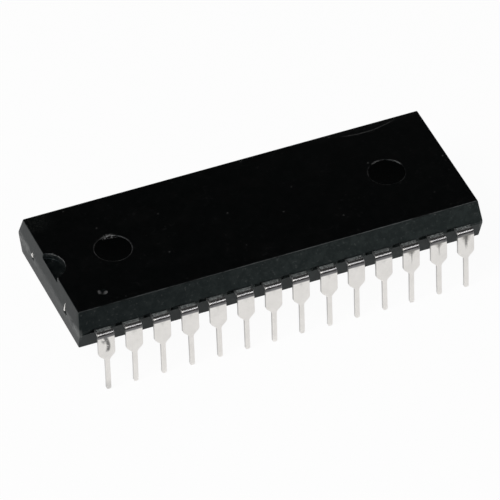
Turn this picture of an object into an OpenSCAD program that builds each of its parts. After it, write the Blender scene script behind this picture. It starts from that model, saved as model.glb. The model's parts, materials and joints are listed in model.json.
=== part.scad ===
// Dual in-line chip package: a moulded body on a stamped and formed lead frame,
// with the die paddle, the die and its bond wires sealed inside.
// X runs along the body with the notched end at -X, Y runs across it, and the
// lead tips stand on Z = 0. The origin is under the middle of the body, in the plane of the tips.

/* [Package] */
// Number of leads, half of them on each long side
lead_count = 28; // [16:4:40]
// Distance between neighbouring leads of a row
lead_pitch = 2.54; // [2.3:0.01:3]
// Depth of the lead tips below the parting plane of the body
tip_depth = 5.91; // [5:0.01:7]

/* [Moulded body] */
// Width of the body at its parting line
body_width = 14.1; // [13:0.1:16]
// Length of body left beyond the middle of each end lead
end_margin = 1.99; // [1.7:0.01:3]
// Height of the body above the parting plane
top_height = 1.94; // [1.4:0.01:2.5]
// Height of the body below the parting plane
bottom_height = 1.9; // [1.2:0.01:2.5]
// How far a long side leans in from the parting line to the top face
side_lean_top = 0.66; // [0.2:0.01:1]
// How far a long side leans in from the parting line to the underside
side_lean_bottom = 0.5; // [0.2:0.01:1]
// How far an end leans in from the parting line to the top face
end_lean_top = 0.20; // [0.1:0.01:0.8]
// How far an end leans in from the parting line to the underside
end_lean_bottom = 0.10; // [0.05:0.01:0.8]
// Radius of the moulded edges round the top face and the underside
edge_radius = 0.10; // [0.05:0.01:0.3]

/* [Marks on the body] */
// Radius of the round notch in the end that holds the first lead
notch_radius = 1.7; // [1.3:0.05:2.5]
// How far the notch reaches into the top face
notch_reach = 1.25; // [0.6:0.05:1.5]
// Depth of the notch below the top face
notch_depth = 0.55; // [0.2:0.05:1.2]
// Diameter of the round prints that the ejector pins leave
ejector_diameter = 3.25; // [1:0.05:5]
// Depth of those prints
ejector_depth = 0.05; // [0.02:0.01:0.3]
// Distance from an end of the body to the middle of its ejector print
ejector_inset = 5.88; // [5:0.01:8]
// Diameter of the dimple that marks the first lead
dimple_diameter = 0.8; // [0.4:0.05:1.5]
// Depth of the dimple
dimple_depth = 0.08; // [0.02:0.01:0.3]
// Distance from the dimple's middle to the notched end
dimple_end_inset = 3.05; // [2:0.05:4]
// Distance from the dimple's middle to the long side of the first lead
dimple_side_inset = 2.32; // [2:0.01:3]

/* [Leads] */
// Thickness of the lead frame
frame_thickness = 0.25; // [0.15:0.01:0.35]
// Width of a lead's upper part
lead_wide = 1.50; // [1.1:0.01:1.8]
// Width of the part of a lead that goes into the board
lead_narrow = 0.42; // [0.35:0.01:0.6]
// Length of that narrow part, up to the shoulders
narrow_length = 3.15; // [2.5:0.05:3.5]
// Length over which the lead tapers from wide to narrow
taper_length = 0.62; // [0.4:0.01:1.2]
// Radius of the corners where the taper begins
shoulder_radius = 0.5; // [0.1:0.05:0.6]
// Radius of the corners at the foot of the taper
foot_radius = 0.12; // [0.05:0.01:0.4]
// Radius of the two corners of a lead's tip
tip_radius = 0.16; // [0.05:0.01:0.17]
// Flat length of lead between the body and its bend
ledge_length = 0.25; // [0.1:0.01:0.8]
// Radius inside the bend
bend_radius = 0.25; // [0.15:0.01:0.5]
// Angle by which the rows of leads splay outwards
splay_angle = 4; // [0:0.5:10]

/* [Lead frame in the body] */
// How far the whole frame sits off the middle of the body, away from the notch
frame_offset = 0.1; // [-0.15:0.01:0.15]
// Depth to which the wide part of a lead is held in the body
anchor_depth = 0.9; // [0.5:0.05:1.2]
// Depth at which the inner fingers turn towards the die
knee_depth = 1.45; // [1.3:0.05:1.8]
// Width of the inner fingers
finger_width = 0.4; // [0.25:0.01:0.5]
// Spacing of the fingers that end beside a long edge of the paddle
finger_pitch = 0.9; // [0.7:0.01:0.95]
// Gap between the finger ends and the paddle
finger_gap = 0.4; // [0.2:0.05:0.5]
// Length of the die paddle
paddle_length = 6.4; // [5.8:0.1:6.8]
// Width of the die paddle
paddle_width = 5.6; // [5.2:0.1:5.8]
// Depth by which the paddle is set down below the fingers
paddle_drop = 0.3; // [0.1:0.05:0.5]
// Length of the slope that sets it down
drop_run = 0.5; // [0.3:0.05:1]
// Width of the tie bars that carry the paddle
tie_width = 0.5; // [0.3:0.05:0.6]
// Width of the cut tie-bar ends in the end faces
tie_end_width = 0.4; // [0.25:0.05:0.6]
// Distance between the two tie-bar ends of one end face
tie_spacing = 7.4; // [5:0.1:8]
// Length of each branch's straight end, measured from the end face
tie_end_length = 1.2; // [0.8:0.1:2]
// Distance from the end face to the fork of the tie bar
fork_inset = 4.5; // [4:0.1:6]
// How far the cut ends stand out of the end faces
tie_stub = 0.12; // [0.02:0.01:0.3]

/* [Die and wires] */
// Length of the silicon die
die_length = 4.6; // [3:0.1:5]
// Width of the silicon die
die_width = 4.2; // [3:0.1:4.6]
// Thickness of the silicon die
die_thickness = 0.4; // [0.35:0.01:0.5]
// Thickness of the die attach
attach_thickness = 0.04; // [0.02:0.01:0.08]
// Width of the attach that shows round the die
attach_margin = 0.2; // [0.05:0.05:0.3]
// Corner radius of the attach
attach_radius = 0.3; // [0.1:0.05:0.5]
// Diameter of the bond wires
wire_diameter = 0.032; // [0.02:0.001:0.05]
// Diameter of the ball that bonds a wire to the die
ball_diameter = 0.09; // [0.06:0.005:0.12]
// Height of that ball
ball_height = 0.025; // [0.015:0.001:0.04]
// Height of the wire loops above the die
loop_height = 0.25; // [0.15:0.01:0.5]
// Radius of the bend at the top of a loop
loop_radius = 0.08; // [0.05:0.01:0.12]
// Distance from the balls to the edge of the die
pad_inset = 0.15; // [0.1:0.01:0.3]
// Distance from the end of a finger to its wire
stitch_inset = 0.25; // [0.1:0.05:0.4]
// Diameter of the flattened end of a wire
stitch_diameter = 0.1; // [0.06:0.005:0.15]
// Thickness of that flattened end
stitch_height = 0.015; // [0.01:0.001:0.02]

/* [Hidden] */
$fn = 48;

row_count = lead_count / 2;
quarter_count = row_count / 2;
last_lead_x = (row_count - 1) / 2 * lead_pitch;

body_length = 2 * (last_lead_x + end_margin);
half_length = body_length / 2;
half_width = body_width / 2;

parting_z = tip_depth;
frame_top_z = parting_z + frame_thickness / 2;
frame_bottom_z = parting_z - frame_thickness / 2;
top_z = parting_z + top_height;
bottom_z = parting_z - bottom_height;

// The legs hang from the centre line of the bend, which lies below the ledge
anchor_y = half_width - anchor_depth;
bend_y = half_width + ledge_length;
bend_z = frame_bottom_z - bend_radius;
leg_length = (bend_z + bend_radius * sin(splay_angle)) / cos(splay_angle);

// All fingers run side by side at one slope, which brings the last one in just beside the tie bar
knee_y = half_width - knee_depth;
column_x = paddle_length / 2 + finger_gap;
row_y = paddle_width / 2 + finger_gap;
first_tip_y = tie_width / 2 + finger_gap + finger_width / 2;
finger_slope = (knee_y - first_tip_y) / (last_lead_x - column_x);

paddle_top_z = frame_top_z - paddle_drop;
paddle_bottom_z = frame_bottom_z - paddle_drop;
die_bottom_z = paddle_top_z + attach_thickness;
die_top_z = die_bottom_z + die_thickness;
pad_x = die_length / 2 - pad_inset;
pad_y = die_width / 2 - pad_inset;

// A cutter reaches this far past the faces that it opens
overcut = 1;
// An arc is larger than its corner needs by this much, so no sliver is left where it meets a straight side
arc_excess = 0.00001;

body_colour = "#20262a";
tin_colour = "#dcdad6";
frame_colour = "#a8a39b";
silver_colour = "#b9b7b0";
silicon_colour = "#5a5f78";
gold_colour = "#e3b34b";

function two_digits(n) = str(n < 10 ? "0" : "", n);
function lead_name(n) = str("lead_", two_digits(n));
function wire_name(n) = str("bond_wire_", two_digits(n));

// Outlines with rounded corners

function toward(a, b) = (b - a) / norm(b - a);
function half_corner(a, b, c) = acos(toward(b, a) * toward(b, c)) / 2;
function turns_left(a, b, c) = cross(b - a, c - b) > 0;
function arc_middle(a, b, c, r) =
    b + toward([0, 0], toward(b, a) + toward(b, c)) * r / sin(half_corner(a, b, c));
function arc_end(a, b, c, r) = b + toward(b, a) * r / tan(half_corner(a, b, c));

// What an arc takes from a corner that turns left, or adds to one that turns right
module corner_piece(a, b, c, r) {
    middle = arc_middle(a, b, c, r);
    difference() {
        polygon([arc_end(a, b, c, r), b + toward(middle, b) * r / 2, arc_end(c, b, a, r), middle]);
        translate(middle)
            circle(r = r + arc_excess);
    }
}

// A closed outline, counter-clockwise, with an arc of the given radius at each corner
module rounded_outline(points, radii) {
    count = len(points);
    before = [for (i = [0:count - 1]) points[(i + count - 1) % count]];
    after = [for (i = [0:count - 1]) points[(i + 1) % count]];
    difference() {
        union() {
            polygon(points);
            for (i = [0:count - 1])
                if (radii[i] > 0 && !turns_left(before[i], points[i], after[i]))
                    corner_piece(before[i], points[i], after[i], radii[i]);
        }
        for (i = [0:count - 1])
            if (radii[i] > 0 && turns_left(before[i], points[i], after[i]))
                corner_piece(before[i], points[i], after[i], radii[i]);
    }
}

// Outline of a strip of constant width along a path, with mitred corners
function left_of(a, b) = [a[1] - b[1], b[0] - a[0]] / norm(b - a);
function mitre(path, i) =
    let (last = len(path) - 1)
    let (entry = left_of(path[max(i - 1, 0)], path[max(i, 1)]))
    let (exit = left_of(path[min(i, last - 1)], path[min(i + 1, last)]))
    (entry + exit) / (1 + entry * exit);
function strip(path, width) = concat(
    [for (i = [0:len(path) - 1]) path[i] - mitre(path, i) * width / 2],
    [for (i = [len(path) - 1:-1:0]) path[i] + mitre(path, i) * width / 2]
);

// Places of the leads, counted round the body from the first one beside the notch

function is_front(n) = n <= row_count;
function column(n) = is_front(n) ? n - 1 : lead_count - n;
function lead_x(n) = (column(n) - (row_count - 1) / 2) * lead_pitch;
function side_x(n) = lead_x(n) < 0 ? -1 : 1;
function side_y(n) = is_front(n) ? -1 : 1;
// Rank of a lead in its quarter of the frame, counted from the middle of the row
function rank(n) = round(abs(lead_x(n)) / lead_pitch - 0.5);

// Moves what is modelled about the middle of the frame to where the frame lies in the body
module on_frame() {
    translate([frame_offset, 0, 0])
        children();
}

// Turns a piece modelled in the +X +Y quarter into the quarter of lead n
module in_quarter_of(n) {
    mirror([side_x(n) < 0 ? 1 : 0, 0, 0])
        mirror([0, side_y(n) < 0 ? 1 : 0, 0])
            children();
}

// Route of the finger of rank k, from its end beside the paddle out to its anchor

function rank_x(k) = (k + 0.5) * lead_pitch;
function slope_y(k, x) = knee_y - (rank_x(k) - x) * finger_slope;
function row_tip_x(k) = (k + 0.5) * finger_pitch;
function ends_in_row(k) =
    row_tip_x(k) <= column_x - finger_width
    && slope_y(k, row_tip_x(k)) >= row_y + finger_width / 2;
function finger_tip(k) = ends_in_row(k) ? [row_tip_x(k), row_y] : [column_x, slope_y(k, column_x)];
function finger_turn(k) = ends_in_row(k) ? [[row_tip_x(k), slope_y(k, row_tip_x(k))]] : [];
function finger_path(k) = concat(
    [finger_tip(k)],
    finger_turn(k),
    [[rank_x(k), knee_y], [rank_x(k), half_width]]
);

// Inner finger of a lead, from the die paddle out into the lead's anchor
module lead_finger(k) {
    translate([0, 0, frame_bottom_z])
        linear_extrude(height = frame_thickness)
            polygon(strip(finger_path(k), finger_width));
}

// Side view of a lead outside its finger: anchor, ledge, bend and leg, one sheet thick
module lead_side_view() {
    outer_radius = bend_radius + frame_thickness;
    corner_share = (1 - sin(splay_angle)) / cos(splay_angle);
    leg_run = leg_length * sin(splay_angle);
    leg_drop = leg_length * cos(splay_angle);
    rounded_outline(
        [
            [anchor_y, frame_bottom_z],
            [bend_y + bend_radius * corner_share, frame_bottom_z],
            [
                bend_y + bend_radius * cos(splay_angle) + leg_run,
                bend_z + bend_radius * sin(splay_angle) - leg_drop
            ],
            [
                bend_y + outer_radius * cos(splay_angle) + leg_run,
                bend_z + outer_radius * sin(splay_angle) - leg_drop
            ],
            [bend_y + outer_radius * corner_share, frame_top_z],
            [anchor_y, frame_top_z]
        ],
        [0, bend_radius, 0, 0, outer_radius, 0]
    );
}

// Outline of a leg laid flat: y = 0 is where the bend ends, and the outline goes on past it
module leg_outline() {
    wide = lead_wide / 2;
    narrow = lead_narrow / 2;
    foot_y = narrow_length - leg_length;
    shoulder_y = foot_y + taper_length;
    rounded_outline(
        [
            [-narrow, -leg_length], [narrow, -leg_length],
            [narrow, foot_y], [wide, shoulder_y], [wide, bend_radius],
            [-wide, bend_radius], [-wide, shoulder_y], [-narrow, foot_y]
        ],
        [tip_radius, tip_radius, foot_radius, shoulder_radius, 0, 0, shoulder_radius, foot_radius]
    );
}

// Everything of a lead outside its finger: the side view, as wide as the lead and cut to its outline
module formed_lead(k) {
    intersection() {
        translate([rank_x(k) - lead_wide, 0, 0])
            rotate([90, 0, 90])
                linear_extrude(height = 2 * lead_wide)
                    lead_side_view();
        union() {
            translate([rank_x(k) - lead_wide / 2, anchor_y - overcut, bend_z])
                cube([lead_wide, anchor_depth + ledge_length + 2 * overcut, 2 * overcut]);
            translate([rank_x(k), bend_y, bend_z])
                rotate([90 + splay_angle, 0, 0])
                    translate([0, 0, -overcut])
                        linear_extrude(height = 2 * overcut)
                            leg_outline();
        }
    }
}

module lead(n) {
    color(tin_colour)
        on_frame()
            in_quarter_of(n)
                union() {
                    lead_finger(rank(n));
                    formed_lead(rank(n));
                }
}

// Place along the frame that lies the given distance in from an end face of the body
function inset_x(end, inset) = end * (half_length - inset) - frame_offset;

// Plan of the paddle and of the forked tie bars that carry it to the end faces
module paddle_plan() {
    branch_y = tie_spacing / 2;
    translate([-paddle_length / 2, -paddle_width / 2])
        square([paddle_length, paddle_width]);
    for (end = [-1, 1]) {
        polygon(strip([[0, 0], [inset_x(end, fork_inset), 0]], tie_width));
        for (side = [-1, 1])
            polygon(strip(
                [
                    [inset_x(end, fork_inset), 0],
                    [inset_x(end, tie_end_length), side * branch_y],
                    [inset_x(end, -tie_stub), side * branch_y]
                ],
                tie_end_width
            ));
    }
}

// Side view of the sheet that the paddle is set down from
module paddle_profile() {
    low_end = paddle_length / 2;
    high_start = low_end + drop_run;
    far_end = half_length + overcut;
    polygon([
        [-far_end, frame_bottom_z], [-high_start, frame_bottom_z],
        [-low_end, paddle_bottom_z], [low_end, paddle_bottom_z],
        [high_start, frame_bottom_z], [far_end, frame_bottom_z],
        [far_end, frame_top_z], [high_start, frame_top_z],
        [low_end, paddle_top_z], [-low_end, paddle_top_z],
        [-high_start, frame_top_z], [-far_end, frame_top_z]
    ]);
}

module die_paddle() {
    color(frame_colour)
        on_frame()
            intersection() {
                translate([0, 0, bottom_z])
                    linear_extrude(height = top_height + bottom_height)
                        paddle_plan();
                rotate([90, 0, 0])
                    translate([0, 0, -half_width])
                        linear_extrude(height = body_width)
                            paddle_profile();
            }
}

module die_attach() {
    far_x = die_length / 2 + attach_margin;
    far_y = die_width / 2 + attach_margin;
    color(silver_colour)
        on_frame()
            translate([0, 0, paddle_top_z])
                linear_extrude(height = attach_thickness)
                    rounded_outline(
                        [[-far_x, -far_y], [far_x, -far_y], [far_x, far_y], [-far_x, far_y]],
                        [attach_radius, attach_radius, attach_radius, attach_radius]
                    );
}

module silicon_die() {
    color(silicon_colour)
        on_frame()
            translate([-die_length / 2, -die_width / 2, die_bottom_z])
                cube([die_length, die_width, die_thickness]);
}

// Where the wire of rank k leaves the die and where it lands on its finger

function wire_start(k) = ends_in_row(k)
    ? [finger_tip(k)[0] / column_x * pad_x, pad_y]
    : [pad_x, min(finger_tip(k)[1] / row_y, 1) * pad_y];
function wire_end(k) =
    finger_tip(k) + stitch_inset * toward(finger_path(k)[0], finger_path(k)[1]);

// One bond wire: a ball, a riser, a bend over the top of the loop and a straight fall to its finger
module bond_wire_in_quarter(k) {
    start = wire_start(k);
    reach = norm(wire_end(k) - start);
    heading = atan2(wire_end(k)[1] - start[1], wire_end(k)[0] - start[0]);
    wire_radius = wire_diameter / 2;
    riser_top_z = die_top_z + loop_height - loop_radius;
    landing_z = frame_top_z + wire_radius;
    // The fall is the tangent from the landing point to the bend's circle, to a hundredth of a degree
    across = reach - loop_radius;
    drop = riser_top_z - landing_z;
    tangent_angle = 90 + atan2(drop, across) - acos(loop_radius / norm([across, drop]));
    fall_angle = round(tangent_angle * 100) / 100;
    fall_length = sqrt(across * across + drop * drop - loop_radius * loop_radius);
    difference() {
        translate([start[0], start[1], 0])
            rotate([0, 0, heading])
                union() {
                    translate([0, 0, die_top_z])
                        cylinder(d = ball_diameter, h = ball_height);
                    translate([0, 0, die_top_z])
                        cylinder(d = wire_diameter, h = riser_top_z - die_top_z);
                    translate([loop_radius, 0, riser_top_z])
                        rotate([90, 0, 0])
                            rotate([0, 0, 90 - fall_angle])
                                rotate_extrude(angle = 90 + fall_angle)
                                    translate([loop_radius, 0])
                                        circle(d = wire_diameter);
                    translate([loop_radius, 0, riser_top_z])
                        rotate([0, fall_angle, 0])
                            translate([0, 0, loop_radius])
                                rotate([0, 90, 0])
                                    cylinder(d = wire_diameter, h = fall_length);
                    translate([reach, 0, frame_top_z])
                        cylinder(d = stitch_diameter, h = stitch_height);
                }
        // Nothing of a wire reaches into the finger that it is stitched to
        translate([0, 0, bottom_z])
            cube([half_length, half_width, frame_top_z - bottom_z]);
    }
}

module bond_wire(n) {
    color(gold_colour)
        on_frame()
            in_quarter_of(n)
                bond_wire_in_quarter(rank(n));
}

// Section of the body from one side to the other at height z, before the marks are sunk in it
module body_section(half, lean_top, lean_bottom) {
    rounded_outline(
        [
            [half - lean_bottom, bottom_z], [half, frame_bottom_z],
            [half, frame_top_z], [half - lean_top, top_z],
            [lean_top - half, top_z], [-half, frame_top_z],
            [-half, frame_bottom_z], [lean_bottom - half, bottom_z]
        ],
        [edge_radius, 0, 0, edge_radius, edge_radius, 0, 0, edge_radius]
    );
}

// Both pairs of leaning sides: one section swept along the body, cut by the other swept across it
module body_block() {
    intersection() {
        rotate([90, 0, 90])
            translate([0, 0, -half_length])
                linear_extrude(height = body_length)
                    body_section(half_width, side_lean_top, side_lean_bottom);
        rotate([90, 0, 0])
            translate([0, 0, -half_width])
                linear_extrude(height = body_width)
                    body_section(half_length, end_lean_top, end_lean_bottom);
    }
}

module body_marks() {
    translate([end_lean_top - half_length + notch_reach - notch_radius, 0, top_z - notch_depth])
        cylinder(r = notch_radius, h = notch_depth + overcut);
    for (end = [-1, 1]) {
        translate([end * (half_length - ejector_inset), 0, top_z - ejector_depth])
            cylinder(d = ejector_diameter, h = ejector_depth + overcut);
        translate([end * (half_length - ejector_inset), 0, bottom_z - overcut])
            cylinder(d = ejector_diameter, h = ejector_depth + overcut);
    }
    translate([dimple_end_inset - half_length, dimple_side_inset - half_width, top_z - dimple_depth])
        cylinder(d = dimple_diameter, h = dimple_depth + overcut);
}

module moulded_body() {
    color(body_colour)
        difference() {
            body_block();
            body_marks();
            die_paddle();
            die_attach();
            silicon_die();
            for (n = [1:lead_count]) {
                lead(n);
                bond_wire(n);
            }
        }
}

moulded_body();
die_paddle();
die_attach();
silicon_die();
for (n = [1:lead_count]) {
    lead(n);
    bond_wire(n);
}
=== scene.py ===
import json
from math import atan2, ceil, cos, pi, radians, sin

import bmesh
import bpy
from mathutils import Matrix, Vector, noise

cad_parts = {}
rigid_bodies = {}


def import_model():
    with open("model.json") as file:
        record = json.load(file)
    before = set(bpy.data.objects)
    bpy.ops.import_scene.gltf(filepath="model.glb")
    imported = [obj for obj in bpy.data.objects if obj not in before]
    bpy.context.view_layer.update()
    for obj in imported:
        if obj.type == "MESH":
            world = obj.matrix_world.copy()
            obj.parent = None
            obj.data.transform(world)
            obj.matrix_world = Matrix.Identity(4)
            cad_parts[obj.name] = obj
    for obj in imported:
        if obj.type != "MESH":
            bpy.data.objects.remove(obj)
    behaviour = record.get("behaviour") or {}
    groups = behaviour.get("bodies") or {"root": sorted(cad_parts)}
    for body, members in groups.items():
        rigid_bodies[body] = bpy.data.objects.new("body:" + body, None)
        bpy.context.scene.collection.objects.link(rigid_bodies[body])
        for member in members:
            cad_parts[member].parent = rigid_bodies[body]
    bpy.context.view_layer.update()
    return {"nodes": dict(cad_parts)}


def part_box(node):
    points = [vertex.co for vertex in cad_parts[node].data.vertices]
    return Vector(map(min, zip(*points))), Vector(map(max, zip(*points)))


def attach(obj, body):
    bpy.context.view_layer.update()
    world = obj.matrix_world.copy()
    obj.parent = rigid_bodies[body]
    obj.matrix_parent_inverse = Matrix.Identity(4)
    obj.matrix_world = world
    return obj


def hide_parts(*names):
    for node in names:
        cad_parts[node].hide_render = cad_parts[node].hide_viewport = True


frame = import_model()

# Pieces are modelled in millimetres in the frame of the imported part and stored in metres.
# +X runs along the body, away from the notch, the lead tips stand on Z = 0.
mm = 0.001
scene = bpy.context.scene


# Sockets that take ordinary arithmetic

class Field:
    def __init__(self, graph, socket):
        self.graph = graph
        self.socket = socket

    def math(self, operation, *others):
        values = dict(enumerate((self,) + others))
        return self.graph.node("ShaderNodeMath", {"operation": operation}, values)

    def __add__(self, other):
        return self.math("ADD", other)

    def __radd__(self, other):
        return self.math("ADD", other)

    def __sub__(self, other):
        return self.math("SUBTRACT", other)

    def __rsub__(self, other):
        return self.graph.node("ShaderNodeMath", {"operation": "SUBTRACT"}, {0: other, 1: self})

    def __mul__(self, other):
        return self.math("MULTIPLY", other)

    def __truediv__(self, other):
        return self.math("DIVIDE", other)

    def __pow__(self, other):
        return self.math("POWER", other)

    def __abs__(self):
        return self.math("ABSOLUTE")

    def above(self, low, high):
        # 0 below low, 1 above high, smooth between
        settings = {"interpolation_type": "SMOOTHSTEP"}
        return self.graph.node("ShaderNodeMapRange", settings,
                               {"Value": self, "From Min": low, "From Max": high})

    def below(self, low, high):
        return 1 - self.above(low, high)

    def clamped(self, low, high):
        return self.math("MAXIMUM", low).math("MINIMUM", high)


class Graph:
    def __init__(self, tree):
        self.tree = tree

    def feed(self, socket, value):
        if isinstance(value, Field):
            self.tree.links.new(value.socket, socket)
        elif value is not None:
            socket.default_value = value

    def node(self, kind, settings=None, inputs=None, output=0):
        made = self.tree.nodes.new(kind)
        for name, value in (settings or {}).items():
            if name == "stops":
                ramp = made.color_ramp.elements
                while len(ramp) < len(value):
                    ramp.new(0.5)
                for stop, (position, colour) in zip(ramp, value):
                    stop.position = position
                    stop.color = colour
            else:
                setattr(made, name, value)
        for name, value in (inputs or {}).items():
            self.feed(made.inputs[name], value)
        return Field(self, made.outputs[output]) if len(made.outputs) else None

    def parts(self, vector):
        split = self.node("ShaderNodeSeparateXYZ", inputs={0: vector}).socket.node
        return [Field(self, socket) for socket in split.outputs]

    def vector(self, x, y, z):
        return self.node("ShaderNodeCombineXYZ", inputs={0: x, 1: y, 2: z})

    def along(self, operation, a, b):
        return self.node("ShaderNodeVectorMath", {"operation": operation}, {0: a, 1: b})

    def scaled(self, vector, factor):
        return self.node("ShaderNodeVectorMath", {"operation": "SCALE"}, {0: vector, "Scale": factor})

    def cloud(self, place, scale, detail=2.0, roughness=0.5):
        return self.node("ShaderNodeTexNoise", inputs={
            "Vector": place, "Scale": scale, "Detail": detail, "Roughness": roughness})

    def specks(self, place, scale, size, share):
        # round grains of the given size in a random share of the cells
        cells = self.node("ShaderNodeTexVoronoi", inputs={"Vector": place, "Scale": scale})
        draw = self.parts(Field(self, cells.socket.node.outputs["Color"]))[0]
        return cells.below(size * 0.5, size) * draw.above(1 - share, 1 - share * 0.8)

    def blend(self, factor, first, second):
        return self.node("ShaderNodeMix", {"data_type": "RGBA"}, {0: factor, 6: first, 7: second}, 2)

    def nearLine(self, offset, width):
        # 1 on the line where offset is 0, 0 from the given distance on
        return abs(offset).below(width * 0.3, width)

    def reach(self, x, y, centreX, centreY):
        # distance of a place from a centre
        return ((x - centreX) ** 2.0 + (y - centreY) ** 2.0).math("SQRT")

    def patch(self, x, y, centreX, centreY, radius):
        # a soft round patch
        return self.reach(x, y, centreX, centreY).below(radius * 0.4, radius)


class Finish:
    # a Principled material whose patterns are laid out in millimetres on the object
    def __init__(self, name, **constants):
        self.material = bpy.data.materials.new(name)
        self.material.use_nodes = True
        self.graph = Graph(self.material.node_tree)
        self.shader = self.graph.tree.nodes["Principled BSDF"]
        place = self.graph.node("ShaderNodeTexCoord", output="Object")
        self.place = self.graph.scaled(place, 1 / mm)
        self.set(**constants)

    def set(self, **values):
        for name, value in values.items():
            self.graph.feed(self.shader.inputs[name.replace("_", " ")], value)

    def bump(self, height, distance, strength=1.0):
        # height is from 0 to 1 and stands for distance millimetres
        previous = self.shader.inputs["Normal"].links
        before = Field(self.graph, previous[0].from_socket) if previous else None
        bumped = self.graph.node("ShaderNodeBump", inputs={
            "Strength": strength, "Distance": distance * mm, "Height": height, "Normal": before})
        self.graph.feed(self.shader.inputs["Normal"], bumped)

    def attribute(self, name):
        return self.graph.node("ShaderNodeAttribute", {"attribute_name": name}, output="Fac")


def grey(value, red=0.0, green=0.0, blue=0.0):
    return (value + red, value + green, value + blue, 1.0)


# The camera stands where the photographer stood

camera = {
    "azimuth": -22.82,
    "elevation": 41.79,
    "distance": 555.0,
    "aimHeight": 5.91,
    "shiftRight": -0.065,
    "shiftUp": -1.97,
    "lens": 469.0,
}


def placeCamera():
    azimuth = radians(camera["azimuth"])
    elevation = radians(camera["elevation"])
    back = Vector((sin(azimuth) * cos(elevation), -cos(azimuth) * cos(elevation), sin(elevation)))
    right = Vector((cos(azimuth), sin(azimuth), 0))
    up = back.cross(right)
    place = Vector((0, 0, camera["aimHeight"])) + back * camera["distance"]
    place += right * camera["shiftRight"] + up * camera["shiftUp"]
    lens = bpy.data.cameras.new("photoCamera")
    lens.lens = camera["lens"]
    lens.sensor_width = 36
    lens.clip_start = 0.01
    holder = bpy.data.objects.new("photoCamera", lens)
    holder.matrix_world = Matrix.Translation(place * mm) @ Matrix((right, up, back)).transposed().to_4x4()
    scene.collection.objects.link(holder)
    scene.camera = holder


placeCamera()
print("camera placed")


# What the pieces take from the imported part, in millimetres

bodyLow, bodyHigh = [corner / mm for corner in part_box("moulded_body")]
frontLow, frontHigh = [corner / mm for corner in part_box("lead_01")]
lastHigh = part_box("lead_14")[1] / mm
frameTop = frontHigh.z

package = {
    "leadsPerRow": 14,
    "sheet": 0.25,
    "leadWide": 1.5,
    "leadNarrow": 0.42,
}
sheet = package["sheet"]
frameBottom = frameTop - sheet
partingZ = frameTop - sheet / 2
firstLeadX = frontLow.x + package["leadWide"] / 2
leadPitch = (lastHigh.x - frontLow.x - package["leadWide"]) / (package["leadsPerRow"] - 1)
leadPlaces = [firstLeadX + leadPitch * n for n in range(package["leadsPerRow"])]


def storedPiece(name, mesh, materials):
    # a mesh in millimetres becomes a piece in metres
    bmesh.ops.scale(mesh, vec=(mm, mm, mm), verts=mesh.verts)
    data = bpy.data.meshes.new(name)
    mesh.to_mesh(data)
    mesh.free()
    for material in materials:
        data.materials.append(material)
    piece = bpy.data.objects.new(name, data)
    scene.collection.objects.link(piece)
    return piece


def smoothed(piece, degrees):
    piece.data.shade_smooth()
    piece.data.set_sharp_from_angle(angle=radians(degrees))


def applied(piece):
    # the piece's modifiers become part of its mesh
    shown = piece.evaluated_get(bpy.context.evaluated_depsgraph_get())
    flat = bpy.data.meshes.new_from_object(shown)
    piece.modifiers.clear()
    piece.data = flat
    flat.name = piece.name


# The moulded body: rings of points from the underside up to the top face

case = {
    "endLeanTop": 0.20,
    "endLeanBottom": 0.10,
    "sideLeanTop": 0.66,
    "sideLeanBottom": 0.50,
    "edgeRadius": 0.10,
    "cornerRadius": 0.07,
    "edgeSteps": 4,
    "sideSteps": 5,
    "pointSpacing": 0.11,
    "cornerSteps": 4,
    "cornerReach": 0.6,
    "straightInset": 0.5,    # the rows of stations stop this much before the corner's reach
    "flashReach": 0.02,
    "flashSpread": 0.06,
    "rowEnd": 0.9,           # no flash further than this past the middle of the outer leads
    "besideLead": 0.03,      # and none this close to a lead
    "chipDepth": 0.27,
    "chipOffset": 0.24,      # from the lead's side to the middle of the chip beside it
    "chipSpread": 0.5,
    "chipVariety": 0.2,
    "chipRise": 0.3,         # how far a chip bites into the wall above the leads
    "mergeWithin": 0.002,    # points that the cut leaves closer than this become one
    "splitBelow": 1.0,       # many-sided faces of less than this area are split into triangles
    "seed": 11,
}

notch = {"radius": 1.7, "reach": 1.25, "depth": 0.55, "rim": 0.02, "floorCorner": 0.05, "steps": 128}
ejector = {"radius": 1.625, "depth": 0.05, "inset": 5.88, "rim": 0.03, "floorCorner": 0.015, "steps": 96}
dimple = {"radius": 0.4, "depth": 0.09, "endInset": 3.05, "sideInset": 2.32, "rings": 8, "steps": 48}
tieEnds = {
    "spacing": 7.4,
    "sunk": 0.12,
    "pitDepth": 0.22,
    "pitWidth": 0.8,
    "pitHeight": 0.62,
    "pitDrop": 0.12,         # how far the pit's middle lies below the bar's
    # width and height of the burr at each end: front and back at the notch, front and back at the far end
    "burrs": ((0.28, 0.75), (0.55, 0.36), (0.4, 0.45), (0.28, 0.6)),
    "burrRings": 9,
    "burrFoot": 0.06,        # how far above the parting line a burr begins
    "burrThickness": 0.10,
    "burrEdge": 0.02,        # half width and thickness that are left at its tip
}

halfLength = bodyHigh.x
notchX = case["endLeanTop"] - halfLength + notch["reach"] - notch["radius"]
halfWidth = bodyHigh.y
topZ = bodyHigh.z
bottomZ = bodyLow.z


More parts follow.
